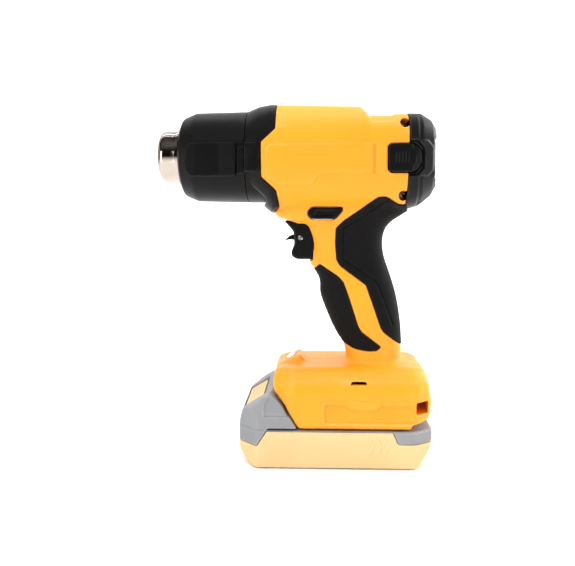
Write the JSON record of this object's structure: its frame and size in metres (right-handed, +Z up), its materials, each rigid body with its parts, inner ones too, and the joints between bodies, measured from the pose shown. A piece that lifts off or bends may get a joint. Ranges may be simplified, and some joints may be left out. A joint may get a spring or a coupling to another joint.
{
  "type": "heat gun",
  "caption": "Cordless heat gun with a pistol grip, steel nozzle, black front shroud, vented rear cap and a slide-on battery that it stands on.",
  "frame": {"origin": "on the ground under the middle of the gun's overall box", "axes": "+Z up, nozzle points along -X, the user's left side is -Y"},
  "size_m": [0.1755, 0.075, 0.2254],
  "materials": {
    "body_yellow": "moulded satin",
    "shroud_black": "moulded satin",
    "cap_dark": "fine spark texture",
    "grip_rubber": "matt overmould",
    "nozzle_chrome": "polished",
    "steel": "plain",
    "mica": "pressed sheet",
    "heater_wire": "oxidised",
    "brass": "bright",
    "board_green": "lacquered",
    "white_plastic": "moulded",
    "lens": "clear moulded",
    "lead_red": "sleeved wire",
    "lead_black": "sleeved wire",
    "pack_grey": "moulded satin",
    "pack_cream": "moulded satin",
    "cell_blue": "shrink-wrapped"
  },
  "bodies": {
    "housing": {"body_left_shell": "body_yellow", "body_right_shell": "body_yellow", "grip_rear_left": "grip_rubber", "grip_rear_right": "grip_rubber", "grip_front_left": "grip_rubber", "grip_front_right": "grip_rubber", "body_screw_rear_top": "steel", "body_screw_rear_bottom": "steel", "body_screw_barrel_top": "steel", "body_screw_barrel_bottom": "steel", "body_screw_handle": "steel", "body_screw_foot": "steel", "shroud_collar": "shroud_black", "front_shroud": "shroud_black", "nozzle": "nozzle_chrome", "nozzle_seat_ring": "steel", "heat_shield": "steel", "mica_tube": "mica", "heater_core": "mica", "heater_coil": "heater_wire", "thermal_cutoff": "white_plastic", "motor": "steel", "motor_mount": "cap_dark", "switch_module": "shroud_black", "battery_lead_red": "lead_red", "battery_lead_black": "lead_black", "motor_lead_red": "lead_red", "motor_lead_black": "lead_black", "lamp_lens": "lens", "lamp_board": "board_green", "controller_board": "board_green", "terminal_block": "shroud_black", "terminal_blade_left": "brass", "terminal_blade_right": "brass"},
    "fan": {"motor_shaft": "steel", "fan_impeller": "cap_dark"},
    "intake_cap": {"rear_cap": "cap_dark", "intake_screen": "steel"},
    "latch_button_left": {"latch_left": "shroud_black"},
    "latch_button_right": {"latch_right": "shroud_black"},
    "trigger_assembly": {"trigger": "shroud_black", "lever_pin": "steel"},
    "lock_on_lever": {"lock_lever": "shroud_black"},
    "cross_bolt": {"lock_button": "shroud_black"},
    "battery_release": {"battery_release_button": "pack_cream"},
    "battery": {"battery_upper_housing": "pack_grey", "battery_lower_housing": "pack_cream", "battery_release_spring": "steel", "battery_cell_1": "cell_blue", "battery_cell_2": "cell_blue", "battery_cell_3": "cell_blue", "battery_cell_4": "cell_blue", "battery_cell_5": "cell_blue", "battery_cell_holder": "cap_dark", "battery_contact_left": "brass", "battery_contact_right": "brass"}
  },
  "joints": [
    {"name": "battery_slide", "type": "slide", "parent": "housing", "child": "battery", "axis": [-1, 0, 0], "range_m": [0, 0.13]},
    {"name": "battery_release_press", "type": "slide", "parent": "battery", "child": "battery_release", "axis": [0, 0, -1], "range_m": [0, 0.0025], "stiffness_N_per_m": 900, "springref_m": -0.001, "deforming": ["battery_release_spring"]},
    {"name": "trigger_pull", "type": "slide", "parent": "housing", "child": "trigger_assembly", "axis": [1, 0, 0], "range_m": [0, 0.006], "stiffness_N_per_m": 700, "springref_m": -0.002},
    {"name": "lock_lever_turn", "type": "hinge", "parent": "trigger_assembly", "child": "lock_on_lever", "pos_m": [0.00125, 0, 0.1396], "axis": [0, 1, 0], "range_deg": [0, 35], "stiffness_Nm_per_rad": 0.02, "springref_deg": -11.46},
    {"name": "cross_bolt_slide", "type": "slide", "parent": "housing", "child": "cross_bolt", "axis": [0, 1, 0], "range_m": [0, 0.004]},
    {"name": "fan_spin", "type": "hinge", "parent": "housing", "child": "fan", "pos_m": [0.05, 0, 0.192], "axis": [1, 0, 0], "continuous": true},
    {"name": "intake_cap_slide", "type": "slide", "parent": "housing", "child": "intake_cap", "axis": [1, 0, 0], "range_m": [0, 0.035]},
    {"name": "latch_left_press", "type": "slide", "parent": "intake_cap", "child": "latch_button_left", "axis": [0, 1, 0], "range_m": [0, 0.0015], "stiffness_N_per_m": 800, "springref_m": -0.0005},
    {"name": "latch_right_press", "type": "slide", "parent": "intake_cap", "child": "latch_button_right", "axis": [0, -1, 0], "range_m": [0, 0.0015], "stiffness_N_per_m": 800, "springref_m": -0.0005}
  ]
}
